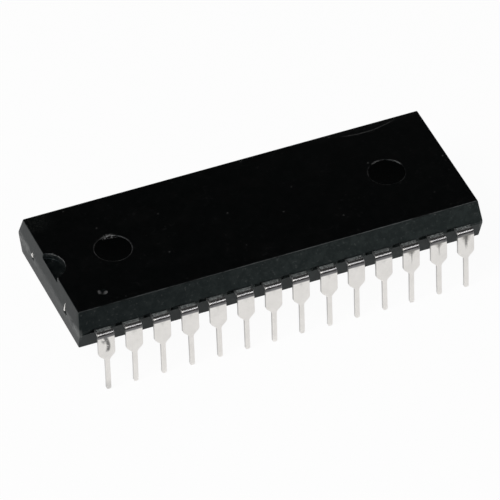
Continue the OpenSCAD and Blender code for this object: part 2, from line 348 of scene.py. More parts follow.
def leaningEdge(lean, height):
    # points of one wall from the parting line to its flat face: inset and height above the line
    tilt = atan2(lean, height)
    radius = case["edgeRadius"]
    arcHeight = height - radius
    arcInset = lean * arcHeight / height + radius / cos(tilt)
    points = []
    steps = case["edgeSteps"]
    for n in range(steps + 1):
        angle = tilt + (pi / 2 - tilt) * n / steps
        points.append((arcInset - radius * cos(angle), arcHeight + radius * sin(angle)))
    wallEnd = points[0][1] - 0.03
    wall = [wallEnd * (n / case["sideSteps"]) ** 0.8 for n in range(case["sideSteps"] + 1)]
    wall[1:1] = [case["chipRise"] * share for share in (0.3, 0.6, 1.0)]
    flatEdge = (points[-1][0] + 0.04, height)
    return [(lean * z / height, z) for z in wall] + points + [flatEdge]


def bodyLevels():
    # each level: inset and height on the long sides, then on the ends
    above = list(zip(leaningEdge(case["sideLeanTop"], topZ - frameTop),
                     leaningEdge(case["endLeanTop"], topZ - frameTop)))
    below = list(zip(leaningEdge(case["sideLeanBottom"], frameBottom - bottomZ),
                     leaningEdge(case["endLeanBottom"], frameBottom - bottomZ)))
    levels = [((side[0], frameBottom - side[1]), (end[0], frameBottom - end[1]))
              for side, end in reversed(below)]
    for share in (0.06, 0.3, 0.5, 0.7, 0.94):
        height = frameBottom + share * sheet
        levels.append(((0, height), (0, height)))
    levels += [((side[0], frameTop + side[1]), (end[0], frameTop + end[1])) for side, end in above]
    return levels


def perimeterPoints():
    # stations round the body: share of the half sizes, offset, and outward direction
    radius = case["cornerRadius"]
    stations = []
    for turn in range(4):
        middle = radians(-45 + 90 * turn)
        signX = 1 if cos(middle) > 0 else -1
        signY = 1 if sin(middle) > 0 else -1
        for n in range(case["cornerSteps"] + 1):
            angle = middle - pi / 4 + pi / 2 * n / case["cornerSteps"]
            out = Vector((cos(angle), sin(angle)))
            stations.append((signX, signY, radius * (out.x - signX), radius * (out.y - signY), out))
        alongEnd = turn in (0, 2)
        reach = (halfWidth if alongEnd else halfLength) - case["cornerReach"] - case["straightInset"]
        count = 2 * ceil(reach / case["pointSpacing"])
        for n in range(count + 1):
            along = -reach + 2 * reach * n / count
            along *= signX if alongEnd else -signY
            if alongEnd:
                stations.append((signX, 0, 0, along, Vector((signX, 0))))
            else:
                stations.append((0, signY, along, 0, Vector((0, signY))))
    return stations


def ragged(x, y, z, scale):
    return noise.fractal(Vector((x * scale, y * scale, z * scale)), 0.6, 2.1, 4)


def partingRelief(x, y, z):
    # how far the broken resin at the parting line stands proud of the land, or lies below it
    if abs(y) < halfWidth - 0.001:
        return 0.006 * ragged(x, y, z, 6)
    row = 1 if y > 0 else -1
    nearest = min(leadPlaces, key=lambda place: abs(place - x))
    if abs(x) > leadPlaces[-1] + case["rowEnd"]:
        return 0.008 * ragged(x, y, z, 6)
    fromLead = abs(x - nearest) - package["leadWide"] / 2
    if fromLead < case["besideLead"]:
        return 0
    lip = case["flashReach"] + case["flashSpread"] * ragged(x, row * 3, z * 0.5, 1.7)
    lip *= min(1, fromLead / 0.1)
    return max(lip, 0)


def chippedWeb(x, y, z):
    # 1 in the middle of the torn places left of each lead of a row
    if abs(y) < halfWidth - 0.001:
        return 0
    row = 1 if y > 0 else -1
    strongest = 0
    for n, place in enumerate(leadPlaces):
        offset = (place - x) * (1 if row < 0 else -1) - package["leadWide"] / 2
        variety = noise.noise(Vector((n * 3.7, row * 5.1, 0.3)))
        spread = case["chipSpread"] + case["chipVariety"] * variety
        share = 1 - abs(offset - case["chipOffset"]) / spread
        strongest = max(strongest, share)
    return strongest


def bodyShell():
    mesh = bmesh.new()
    stations = perimeterPoints()
    rings = []
    for (sideInset, sideZ), (endInset, endZ) in bodyLevels():
        halfX = halfLength - endInset
        halfY = halfWidth - sideInset
        ring = []
        for shareX, shareY, offsetX, offsetY, out in stations:
            z = endZ * out.x ** 2 + sideZ * out.y ** 2
            x = shareX * halfX + offsetX
            y = shareY * halfY + offsetY
            if frameBottom + 0.001 < z < frameTop + case["chipRise"] - 0.001:
                relief = partingRelief(x, y, z) if z < frameTop - 0.001 else 0
                torn = chippedWeb(x, y, z)
                if torn > 0:
                    rough = 0.75 + 0.5 * ragged(x, y, z, 5)
                    risen = max(z - frameTop, 0) / case["chipRise"]
                    relief -= max(min(torn * 2, 1) - risen, 0) * case["chipDepth"] * rough
                x += out.x * relief
                y += out.y * relief
            ring.append(mesh.verts.new((x, y, z)))
        rings.append(ring)
    count = len(stations)
    for lower, upper in zip(rings, rings[1:]):
        for n in range(count):
            m = (n + 1) % count
            mesh.faces.new((lower[n], lower[m], upper[m], upper[n]))
    mesh.faces.new(rings[-1])
    mesh.faces.new(list(reversed(rings[0])))
    mesh.normal_update()
    return mesh


def revolved(mesh, profile, x, y, count):
    # a closed cutter: the profile's points (radius, height) turned about a vertical axis
    rings = []
    for radius, height in profile:
        if radius == 0:
            rings.append([mesh.verts.new((x, y, height))])
        else:
            rings.append([mesh.verts.new((x + radius * cos(2 * pi * n / count),
                                          y + radius * sin(2 * pi * n / count), height))
                          for n in range(count)])
    for lower, upper in zip(rings, rings[1:]):
        for n in range(count):
            m = (n + 1) % count
            if len(lower) == 1:
                mesh.faces.new((lower[0], upper[n], upper[m])[::-1])
            elif len(upper) == 1:
                mesh.faces.new((lower[n], lower[m], upper[0]))
            else:
                mesh.faces.new((lower[n], lower[m], upper[m], upper[n]))


def sinkProfile(radius, depth, rim, corner, face, outward):
    # a round sink with a rolled rim and a filleted floor, from its floor out past the face
    quarter = [pi / 2 * n / 4 for n in range(5)]
    points = [(0, depth)]
    for angle in quarter:
        points.append((radius - corner + corner * sin(angle), depth - corner + corner * cos(angle)))
    for angle in quarter:
        points.append((radius + rim - rim * cos(angle), rim - rim * sin(angle)))
    points += [(radius + rim, -1), (0, -1)]
    return [(r, face - outward * h) for r, h in points]


def bodyCutters():
    mesh = bmesh.new()
    revolved(mesh, sinkProfile(notch["radius"], notch["depth"], notch["rim"], notch["floorCorner"],
                               topZ, 1), notchX, 0, notch["steps"])
    for end in (-1, 1):
        x = end * (halfLength - ejector["inset"])
        for face, outward in ((topZ, 1), (bottomZ, -1)):
            revolved(mesh, sinkProfile(ejector["radius"], ejector["depth"], ejector["rim"],
                                       ejector["floorCorner"], face, outward), x, 0, ejector["steps"])
    radius = dimple["radius"]
    rings = dimple["rings"]
    dish = [(0, topZ - dimple["depth"])]
    for n in range(1, rings + 1):
        dish.append((radius * n / rings, topZ - dimple["depth"] * (1 - (n / rings) ** 2.2)))
    dish += [(radius, topZ + 1), (0, topZ + 1)]
    revolved(mesh, dish, dimple["endInset"] - halfLength, dimple["sideInset"] - halfWidth, dimple["steps"])
    for end in (-1, 1):
        for side in (-1, 1):
            pit = bmesh.ops.create_icosphere(mesh, subdivisions=4, radius=1)["verts"]
            for vert in pit:
                rough = 1 + 0.22 * ragged(vert.co.x + end * 3, vert.co.y + side * 5, vert.co.z, 1.6)
                vert.co.x = end * halfLength + vert.co.x * rough * tieEnds["pitDepth"]
                vert.co.y = side * tieEnds["spacing"] / 2 + vert.co.y * rough * tieEnds["pitWidth"] / 2
                vert.co.z = partingZ - tieEnds["pitDrop"] + vert.co.z * rough * tieEnds["pitHeight"] / 2
    bmesh.ops.recalc_face_normals(mesh, faces=mesh.faces)
    return mesh


def makeBody(finish):
    body = storedPiece("mouldedCase", bodyShell(), [finish])
    cutter = storedPiece("caseCutters", bodyCutters(), [])
    cut = body.modifiers.new("sinks", "BOOLEAN")
    cut.object = cutter
    cut.operation = "DIFFERENCE"
    cut.solver = "EXACT"
    cut.use_self = True
    applied(body)
    bpy.data.objects.remove(cutter)
    mesh = bmesh.new()
    mesh.from_mesh(body.data)
    bmesh.ops.remove_doubles(mesh, verts=mesh.verts, dist=case["mergeWithin"] * mm)
    small = [face for face in mesh.faces
             if len(face.verts) > 4 and face.calc_area() < case["splitBelow"] * mm ** 2]
    bmesh.ops.triangulate(mesh, faces=small)
    mesh.to_mesh(body.data)
    mesh.free()
    smoothed(body, 38)
    weigh = body.modifiers.new("flatFaces", "WEIGHTED_NORMAL")
    weigh.keep_sharp = True
    weigh.weight = 90
    applied(body)
    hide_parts("moulded_body")
    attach(body, "root")
    print("body:", len(body.data.polygons), "faces")


# The leads: flat strips that one node tree bends, tapers and sets in a row

leadForm = {
    "count": package["leadsPerRow"],
    "pitch": leadPitch,
    "middle": (frontLow.x + lastHigh.x) / 2,
    "bodySide": halfWidth,
    "frameMiddle": partingZ,
    "thickness": sheet,
    "wide": package["leadWide"],
    "narrow": package["leadNarrow"],
    "anchor": 0.9,
    "ledge": 0.25,
    "bendRadius": 0.25,
    "splay": 4.0,
    "narrowLength": 3.15,
    "taper": 0.62,
    "tipRadius": 0.16,
    "rowSide": 1.0,
    "seed": 5,
}
stampedEdge = 0.03       # rounding of the punched edges
fingerOverlap = 0.01     # how far a copied finger reaches past its shoulder into the strip
bendCentreZ = frameBottom - leadForm["bendRadius"]
splay = radians(leadForm["splay"])
legLength = (bendCentreZ + leadForm["bendRadius"] * sin(splay)) / cos(splay)
bendLength = (leadForm["bendRadius"] + sheet / 2) * (pi / 2 - splay)
footRun = legLength - leadForm["narrowLength"]
shoulderRun = footRun - leadForm["taper"]
tipZone = 0.2
taperMargin = 0.15       # the close rows of the taper begin and end this much beyond it
# rows of points and the length of strip that they share, from the anchor to the tip
stripZones = [
    (6, leadForm["anchor"] + leadForm["ledge"]),
    (26, bendLength),
    (12, shoulderRun - taperMargin),
    (20, leadForm["taper"] + 2 * taperMargin),
    (14, leadForm["narrowLength"] - taperMargin - tipZone),
    (12, tipZone),
]


def ramp(graph, value, fromLow, fromHigh, toLow, toHigh):
    return graph.node("ShaderNodeMapRange", inputs={
        "Value": value, "From Min": fromLow, "From Max": fromHigh, "To Min": toLow, "To Max": toHigh})


def leadRowTree(finish):
    tree = bpy.data.node_groups.new("leadRow", "GeometryNodeTree")
    graph = Graph(tree)
    identifiers = {}
    for name, value in leadForm.items():
        whole = isinstance(value, int)
        socket = tree.interface.new_socket(
            name=name, in_out="INPUT", socket_type="NodeSocketInt" if whole else "NodeSocketFloat")
        socket.default_value = value
        identifiers[name] = socket.identifier
    tree.interface.new_socket(name="row", in_out="OUTPUT", socket_type="NodeSocketGeometry")
    entry = tree.nodes.new("NodeGroupInput")
    size = {name: Field(graph, entry.outputs[name]) for name in leadForm}

    def stored(geometry, name, value, kind="FLOAT", domain="POINT"):
        return graph.node("GeometryNodeStoreNamedAttribute", {"data_type": kind, "domain": domain},
                          {"Geometry": geometry, "Name": name, "Value": value})

    def named(name, kind="FLOAT"):
        return graph.node("GeometryNodeInputNamedAttribute", {"data_type": kind}, {"Name": name})

    def drawn(low, high, salt):
        # one random value for each lead
        return graph.node("FunctionNodeRandomValue", {"data_type": "FLOAT"},
                          {2: low, 3: high, "ID": named("leadNumber"), "Seed": size["seed"] * 16 + salt}, 1)

    rows = sum(zone[0] for zone in stripZones)
    strip = graph.node("GeometryNodeMeshCube", inputs={
        "Size": (2, 1, 2), "Vertices X": 9, "Vertices Y": rows + 1, "Vertices Z": 3})
    strip = stored(strip, "blank", graph.node("GeometryNodeInputPosition"), "FLOAT_VECTOR")
    places = graph.node("GeometryNodeMeshLine", inputs={"Count": size["count"], "Offset": (1, 0, 0)})
    leads = graph.node("GeometryNodeInstanceOnPoints", inputs={"Points": places, "Instance": strip})
    leads = stored(leads, "leadNumber", graph.node("GeometryNodeInputIndex"), domain="INSTANCE")
    leads = graph.node("GeometryNodeRealizeInstances", inputs={0: leads})

    across, share, through = graph.parts(named("blank", "FLOAT_VECTOR"))
    share = share + 0.5
    number = named("leadNumber")
    run = 0
    done = 0
    for count, length in stripZones:
        run = ramp(graph, share, done / rows, (done + count) / rows, 0, length) + run
        done += count

    # distances along the three parts of the strip
    flatLength = size["anchor"] + size["ledge"]
    middleRadius = size["bendRadius"] + size["thickness"] / 2
    splayAngle = size["splay"] * (pi / 180) + drawn(-0.004, 0.004, 1)
    bendAngle = pi / 2 - splayAngle
    legTrim = drawn(0, 0.03, 2)
    flatRun = run.math("MINIMUM", flatLength)
    bendTurn = ((run - flatLength) / middleRadius).math("MAXIMUM", 0).math("MINIMUM", bendAngle)
    legRun = (run - flatLength - bendLength).math("MAXIMUM", 0)
    total = sum(zone[1] for zone in stripZones)
    legShare = legRun / legLength
    legRun = legRun - legShare * legTrim

    # width: wide, a curved taper, narrow, and the rounded tip
    taperShare = (run - (total - legLength)).above(shoulderRun - 0.1, footRun + 0.06)
    half = (size["wide"] + (size["narrow"] - size["wide"]) * taperShare) / 2
    tipShare = ((run - (total - size["tipRadius"])) / size["tipRadius"]).clamped(0, 1)
    half = half - size["tipRadius"] * (1 - (1 - tipShare * tipShare).math("SQRT"))
    wobble = graph.cloud(graph.vector(run * 0.45, number * 3.1, size["rowSide"]), 1.0) - 0.5
    swell = graph.cloud(graph.vector(run * 1.6, number * 5.7, across * 1.5), 1.0) - 0.5
    sideways = across * half + wobble * legShare * 0.05 + drawn(-0.012, 0.012, 3)
    sideways = sideways + legShare * drawn(-0.05, 0.05, 4)
    depth = through * (size["thickness"] / 2 + swell * 0.012 * bendTurn)

    radius = middleRadius + depth
    sine = bendTurn.math("SINE")
    cosine = bendTurn.math("COSINE")
    outward = size["bodySide"] - size["anchor"] + flatRun + radius * sine + legRun * cosine
    height = size["frameMiddle"] - middleRadius + radius * cosine - legRun * sine
    alongRow = sideways + (number - (size["count"] - 1) / 2) * size["pitch"]
    alongBody = alongRow * size["rowSide"] + size["middle"]
    place = graph.vector(alongBody * mm, outward * size["rowSide"] * mm, height * mm)
    leads = stored(leads, "leadRun", run - size["anchor"])
    leads = stored(leads, "leadAcross", across * half)
    leads = stored(leads, "leadEdge", abs(across))
    leads = graph.node("GeometryNodeSetPosition", inputs={"Geometry": leads, "Position": place})
    leads = graph.node("GeometryNodeSetMaterial", inputs={"Geometry": leads, "Material": finish})
    exit = tree.nodes.new("NodeGroupOutput")
    graph.feed(exit.inputs[0], leads)
    return tree, identifiers


def addFinger(mesh, node):
    # the lead's finger in the body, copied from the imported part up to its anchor. The cut lies past the
    # shoulder, whose own face would otherwise lie in the plane of the cut and leave the cap open.
    copy = bmesh.new()
    copy.from_mesh(frame["nodes"][node].data)
    bmesh.ops.remove_doubles(copy, verts=copy.verts, dist=1e-7)
    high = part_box(node)[1]
    side = 1 if high.y > 0 else -1
    anchorY = side * (halfWidth - leadForm["anchor"] + fingerOverlap) * mm
    everything = copy.verts[:] + copy.edges[:] + copy.faces[:]
    cut = bmesh.ops.bisect_plane(copy, geom=everything, dist=1e-8, plane_co=(0, anchorY, 0),
                                 plane_no=(0, side, 0), clear_outer=True)
    rim = [e for e in cut["geom_cut"] if isinstance(e, bmesh.types.BMEdge)]
    bmesh.ops.holes_fill(copy, edges=rim)
    shape = bpy.data.meshes.new("finger")
    copy.to_mesh(shape)
    copy.free()
    faces = len(mesh.faces)
    mesh.from_mesh(shape)
    mesh.faces.ensure_lookup_table()
    for face in mesh.faces[faces:]:
        face.material_index = 1
    bpy.data.meshes.remove(shape)


def makeLeads(name, rowSide, nodes, tree, identifiers, finishes):
    data = bpy.data.meshes.new(name)
    row = bpy.data.objects.new(name, data)
    scene.collection.objects.link(row)
    shaper = row.modifiers.new("row", "NODES")
    shaper.node_group = tree
    shaper[identifiers["rowSide"]] = float(rowSide)
    shaper[identifiers["seed"]] = 5 + rowSide
    applied(row)
    edge = row.modifiers.new("stampedEdge", "BEVEL")
    edge.width = stampedEdge * mm
    edge.segments = 2
    edge.limit_method = "ANGLE"
    edge.angle_limit = radians(50)
    applied(row)
    mesh = bmesh.new()
    mesh.from_mesh(row.data)
    for node in nodes:
        addFinger(mesh, node)
    mesh.to_mesh(row.data)
    mesh.free()
    row.data.materials.clear()
    for finish in finishes:
        row.data.materials.append(finish)
    smoothed(row, 40)
    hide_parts(*nodes)
    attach(row, "root")
    print(name + ":", len(row.data.polygons), "faces")


# The paddle's tie bars are cut off in the end faces, and each cut leaves a burr

def addBurr(mesh, end, side, width, height, seed):
    # a torn sliver of sheet that lies on the end face above the cut: rings of points up its length
    steps = tieEnds["burrRings"]
    faceLean = case["endLeanTop"] / (topZ - frameTop)
    rings = []
    for n in range(steps + 1):
        share = n / steps
        z = partingZ + tieEnds["burrFoot"] + share * height
        half = width / 2 * (1 - share) ** 1.6 + tieEnds["burrEdge"]
        thick = tieEnds["burrThickness"] * (1 - share) ** 0.8 + tieEnds["burrEdge"]
        middle = side * tieEnds["spacing"] / 2 + 0.05 * share
        middle += 0.05 * noise.noise(Vector((share * 3, seed, 0.5)))
        inner = halfLength - faceLean * max(z - frameTop, 0) - 0.02
        ring = []
        for y, x in ((-1, 0), (-1, 0.6), (-0.4, 1), (0.4, 0.9), (1, 0.5), (1, 0)):
            rough = 1 + 0.3 * noise.noise(Vector((share * 4 + y, seed * 2.3, x)))
            ring.append(mesh.verts.new((end * (inner + x * thick * rough), middle + y * half * rough, z)))
        rings.append(ring)
    faces = []
    count = len(rings[0])
    for lower, upper in zip(rings, rings[1:]):
        for n in range(count):
            m = (n + 1) % count
            faces.append(mesh.faces.new((lower[n], lower[m], upper[m], upper[n])))
    faces.append(mesh.faces.new(rings[-1]))
    faces.append(mesh.faces.new(rings[0][::-1]))
    bmesh.ops.recalc_face_normals(mesh, faces=faces)


def makePaddle(finish, tornFinish):
    mesh = bmesh.new()
    mesh.from_mesh(frame["nodes"]["die_paddle"].data)
    bmesh.ops.remove_doubles(mesh, verts=mesh.verts, dist=1e-7)
    bmesh.ops.scale(mesh, vec=(1 / mm, 1 / mm, 1 / mm), verts=mesh.verts)
    for vert in mesh.verts:
        if abs(vert.co.x) > halfLength + 0.01:
            vert.co.x = (halfLength - tieEnds["sunk"]) * (1 if vert.co.x > 0 else -1)
    bars = len(mesh.faces)
    corners = [(end, side) for end in (-1, 1) for side in (-1, 1)]
    for seed, ((end, side), (width, height)) in enumerate(zip(corners, tieEnds["burrs"])):
        addBurr(mesh, end, side, width, height, seed + 1)
    mesh.faces.ensure_lookup_table()
    for face in mesh.faces[bars:]:
        face.material_index = 1
    paddle = storedPiece("paddleAndTieBars", mesh, [finish, tornFinish])
    smoothed(paddle, 40)
    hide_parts("die_paddle")
    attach(paddle, "root")
    print("paddle:", len(paddle.data.polygons), "faces")


# Finishes: each one's shades, in linear light, stand above the function that lays them out

caseShades = {
    "top": grey(0.0002),
    "topMottle": grey(0.001),
    "topFar": grey(0.0018),
    # the sides' shades stand for painted sheen as well as their own mottled tone
    "side": grey(0.0005, green=0.0006, blue=0.0008),
    "sideSheenMottle": grey(0.009, green=0.0016, blue=0.0016),
    "front": grey(0.027, green=0.006, blue=0.0045),
    "notchWallSheen": grey(0.02, green=0.002, blue=0.002),
    "notchRimHighlight": grey(0.13),
    "notchMouthGlint": grey(0.16),
    "printFloor": grey(0.0004),
    "printRing": grey(0.12),
    "crumbs": grey(0.3),
    "dimpleHighlights": grey(0.13),
    "cornerScuff": grey(0.035, green=0.003),
    "backScuff": grey(0.012),
    "hairline": grey(0.06),
    "edgeWearAndHighlight": grey(0.085, green=0.006, blue=0.006),
    "smear": grey(0.11, green=0.003),
    "dust": grey(0.07),
    "thread": grey(0.02),
    "haze": grey(0.0045, red=0.0006),
}
caseMarks = {
    # x, y and radius of patches on the top face
    "ringCrumbs": ((-12.5, 1.5, 0.8), (12.2, 1.5, 0.5), (14.0, 0.9, 0.5)),
    "looseCrumbs": (-12.4, 1.45, 0.75),
    "cornerScuff": (-17.6, 5.8, 2.0),
    # x and y of the bottom of a curved scratch
    "hairline": (12.9, 5.5),
}


def caseFinish():
    finish = Finish("mouldingCompound", Specular_IOR_Level=0.2, Specular_Tint=(0.76, 0.97, 1.0, 1.0))
    graph = finish.graph
    place = finish.place
    x, y, z = graph.parts(place)
    mottled = graph.cloud(place, 2.6, 4, 0.65)
    grain = graph.cloud(place, 14, 2, 0.6)
    fine = graph.cloud(place, 7, 3, 0.7)
    onTop = z.above(topZ - 0.12, topZ - 0.04)

    # black on top, a little greyer towards the back and the far end; mottled grey-green on the sides, paler
    # than the top as painted sheen
    dull = graph.blend(mottled.above(0.3, 0.75), caseShades["top"], caseShades["topMottle"])
    dull = graph.blend((x + y * 1.5).above(0, 24) * 0.6, dull, caseShades["topFar"])
    cloudy = graph.cloud(place, 0.9, 4, 0.7).above(0.35, 0.7) * 0.6 + mottled.above(0.4, 0.7) * 0.4
    side = graph.blend(cloudy, caseShades["side"], caseShades["sideSheenMottle"])
    # the front side is painted paler still, more so towards the far end, as sheen
    speckled = cloudy.above(0.1, 0.7) * 0.35 + fine * 0.35 + 0.25
    frontSheen = x.above(-30, 14) * y.below(-6.3, -6.0) * speckled
    side = graph.blend(frontSheen * 0.9, side, caseShades["front"])
    colour = graph.blend(onTop, side, dull)

    # the notch's wall is painted pale at the back, fading with depth, as sheen, and its rim paler still as
    # a painted highlight
    fromNotch = graph.reach(x, y, notchX, 0)
    notchDepth = topZ - z
    towardBack = (y * 0.8 + x + 18).above(-0.2, 1.0)
    wall = fromNotch.above(notch["radius"] - 0.32, notch["radius"] + 0.02)
    wall = wall * fromNotch.below(notch["radius"] + 0.04, notch["radius"] + 0.07)
    wall = wall * notchDepth.above(0.01, 0.05) * notchDepth.below(0.05, 0.45) * towardBack
    colour = graph.blend(wall * mottled.above(0.3, 0.6) * 0.8, colour, caseShades["notchWallSheen"])
    # painted highlight along the rim at the back of the notch
    rim = graph.nearLine(fromNotch - notch["radius"] + 0.01, 0.06) * notchDepth.below(0.04, 0.12)
    rim = rim * towardBack * x.above(-18.3, -17.6) * fine.above(0.35, 0.5)
    colour = graph.blend(rim * 0.9, colour, caseShades["notchRimHighlight"])
    # a painted glint at the front corner of the notch's opening
    mouthGlint = graph.patch(x, y, -halfLength + 0.12, -1.66, 0.17) * notchDepth.below(0.3, 0.55)
    colour = graph.blend(mouthGlint * 0.8, colour, caseShades["notchMouthGlint"])

    # dust in the rims of the ejector prints, with loose crumbs at a few places of the notched end's and
    # the far end's print, and smoother, blacker floors inside
    printX = halfLength - ejector["inset"]
    fromPrint = graph.reach(abs(x), y, printX, 0)
    inPrint = fromPrint.below(ejector["radius"] - 0.06, ejector["radius"]) * onTop
    colour = graph.blend(inPrint * 0.85, colour, caseShades["printFloor"])
    ring = graph.nearLine(fromPrint - ejector["radius"] - 0.01, 0.07) * z.above(topZ - 0.2, topZ - 0.1)
    first, second, third = [graph.patch(x, y, *mark) for mark in caseMarks["ringCrumbs"]]
    crumbs = first + second + third
    patchy = graph.cloud(place, 1.5, 4, 0.7)
    ring = ring * (patchy.above(0.45, 0.6) * 0.35 + crumbs * 0.8 + x.below(-10, 10) * 0.17).clamped(0, 1)
    crumbs = graph.patch(x, y, *caseMarks["looseCrumbs"]) * graph.nearLine(fromPrint - 1.6, 0.34)
    crumbs = crumbs * fine.above(0.52, 0.58) * onTop
    colour = graph.blend(ring * 0.8, colour, caseShades["printRing"])
    colour = graph.blend(crumbs * 0.7, colour, caseShades["crumbs"])

    # painted highlights on the dimple's slopes at its left and right
    dimpleX = dimple["endInset"] - halfLength
    dimpleY = dimple["sideInset"] - halfWidth
    fromDimple = graph.reach(x, y, dimpleX, dimpleY)
    dimpleGlints = graph.patch(x, y, dimpleX - 0.36, dimpleY + 0.07, 0.33)
    dimpleGlints = dimpleGlints + graph.patch(x, y, dimpleX + 0.19, dimpleY - 0.18, 0.31)
    dimpleGlints = dimpleGlints.math("MINIMUM", 1) * fromDimple.below(0.36, 0.46) * fine.above(0.3, 0.5) * onTop
    colour = graph.blend(dimpleGlints * 0.9, colour, caseShades["dimpleHighlights"])

    # scuffs: the corner beside the notch, the back edge and a hairline; then the top edges of the long
    # sides, paler in patches as wear with a painted highlight
    corner = graph.patch(x, y, *caseMarks["cornerScuff"]) * fine.above(0.52, 0.62) * onTop
    colour = graph.blend(corner * 0.6, colour, caseShades["cornerScuff"])
    backEdge = y.above(5.5, 6.3) * x.above(6, 11) * onTop * mottled.above(0.3, 0.6)
    colour = graph.blend(backEdge * 0.35, colour, caseShades["backScuff"])
    hairX, hairY = caseMarks["hairline"]
    hairline = graph.nearLine(y - hairY - (x - hairX) ** 2.0 * 0.06 + (mottled - 0.5) * 0.12, 0.06)
    hairline = hairline * x.above(10.6, 11.6) * x.below(15.2, 16.2) * onTop
    colour = graph.blend(hairline * fine.above(0.3, 0.55), colour, caseShades["hairline"])
    # the paler patches along the top edges are partly wear and partly a painted highlight on their rounding
    edgeWearAndGleam = graph.nearLine(abs(y) - (halfWidth - case["sideLeanTop"] - 0.02), 0.055)
    edgeWearAndGleam = edgeWearAndGleam * z.above(topZ - 0.14, topZ - 0.08)
    wearAndGleamPatches = graph.cloud(graph.vector(x * 0.35, y, 3.0), 1.0, 5, 0.75)
    wearAndGleamPatches = wearAndGleamPatches.above(0.3, 0.6) * (x.above(-18, 18) * 0.4 + 0.6)
    colour = graph.blend(edgeWearAndGleam * wearAndGleamPatches, colour, caseShades["edgeWearAndHighlight"])

    # pale smears along the parting line of the end faces
    smear = graph.cloud(graph.vector(x, y * 0.8, z * 1.8), 1.0, 4, 0.6).above(0.42, 0.58)
    onEnd = abs(x).above(halfLength - 0.3, halfLength - 0.2)
    smear = smear * graph.nearLine(z - partingZ + 0.15, 0.75) * onEnd
    smear = smear * (abs(abs(y) - 5.3).below(1.2, 2.6) * 0.8 + 0.2)
    colour = graph.blend(smear, colour, caseShades["smear"])

    # loose dust all over, thicker on the sides, and hairlines on the top
    thin = graph.cloud(place, 0.22, 3, 0.6).above(0.42, 0.6)
    flecks = graph.cloud(place, 3.6, 2, 0.55).above(0.63, 0.7)
    dust = flecks * ((1 - onTop) * 0.3 + 0.05 + thin * 0.07)
    uneven = graph.along("ADD", place, graph.scaled(graph.vector(grain, fine, mottled), 0.25))
    crumb = graph.specks(uneven, 1.1, 0.11, 0.24)
    dust = dust.math("MAXIMUM", crumb * (0.25 + fine)) * (1 - inPrint) * (1 - onEnd * 0.6)
    colour = graph.blend(dust, colour, caseShades["dust"])
    thread = graph.cloud(graph.vector(x * 0.5, y * 0.9, 7.0), 0.8, 1, 0.4) - 0.5
    thread = graph.nearLine(thread, 0.006) * graph.cloud(place, 0.6, 2, 0.5).above(0.52, 0.62) * onTop
    colour = graph.blend(thread * (1 - inPrint) * 0.35, colour, caseShades["thread"])
    haze = graph.cloud(place, 0.5, 4, 0.75).above(0.45, 0.75) * onTop * (1 - inPrint)
    colour = graph.blend(haze * 0.35, colour, caseShades["haze"])
    inNotch = fromNotch.below(notch["radius"] + 0.05, notch["radius"] + 0.1) * notchDepth.above(0.03, 0.12)
    inNotch = inNotch * notchDepth.below(notch["depth"] - 0.06, notch["depth"] - 0.02)
    rough = mottled * 0.16 + 0.3 + ring * 0.2 + dust * 0.2 - inPrint * 0.14 + inNotch * 0.35
    finish.set(Base_Color=colour, Roughness=rough.clamped(0.2, 0.9))
    finish.bump(grain, 0.006, 0.7)
    return finish.material


tinShades = {
    "solder": grey(0.945, green=-0.024, blue=-0.055),
    "solderDull": grey(0.9, green=-0.024, blue=-0.055),
    "mottle": grey(0.76, green=-0.02, blue=-0.045),
    "residueAndDarkReflection": grey(0.4, green=0.05, blue=0.06),
    "outline": grey(0.06),
    "crust": grey(0.5, green=0.035, blue=0.03),
    "bendDarkReflection": grey(0.08, green=0.012, blue=0.025),
    "shine": grey(0.36, blue=0.04),
    "underBendShade": grey(0.06, blue=0.01),
    "shade": grey(0.34),
    "wedgeShade": grey(0.26, green=-0.01, blue=-0.03),
    "creaseShade": grey(0.16),
    "curl": grey(0.07),
    "smudge": grey(0.17),
    "tip": grey(0.4),
    "punched": grey(0.6),
}


